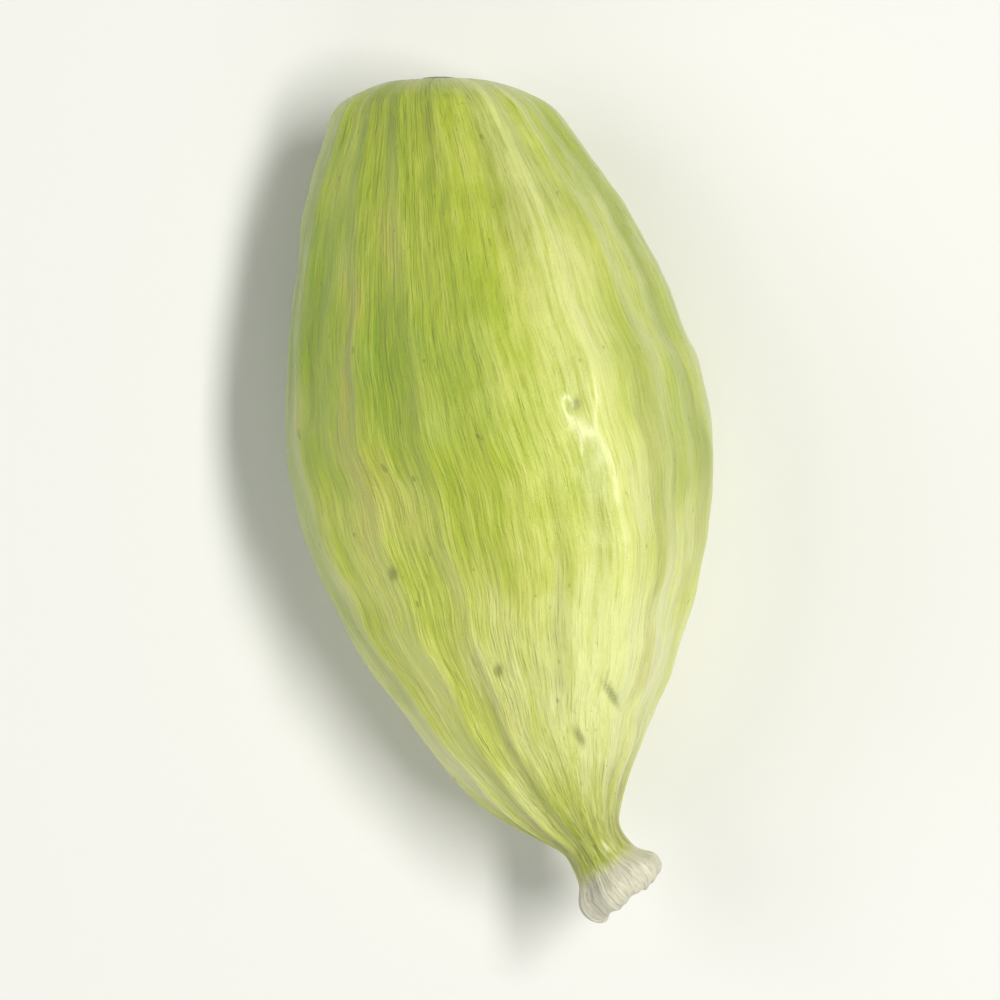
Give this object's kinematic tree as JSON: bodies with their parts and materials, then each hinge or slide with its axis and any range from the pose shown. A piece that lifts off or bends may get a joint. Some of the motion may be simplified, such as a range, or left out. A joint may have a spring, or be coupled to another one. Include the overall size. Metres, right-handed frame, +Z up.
{
  "type": "green cardamom pod",
  "caption": "Dried green cardamom pod, an angular ribbed husk closed round the spice's seeds, blunt at the stalk end and with a slim bent neck that ends in a flared ring.",
  "frame": {"origin": "middle of the pod's box, on the surface that the pod rests on", "axes": "+X along the pod towards the neck, +Y towards the side that the neck bends to, +Z up"},
  "size_m": [0.017, 0.0084, 0.0069],
  "materials": {
    "husk": "satin"
  },
  "bodies": {
    "root": {"pod": "husk"}
  },
  "joints": []
}
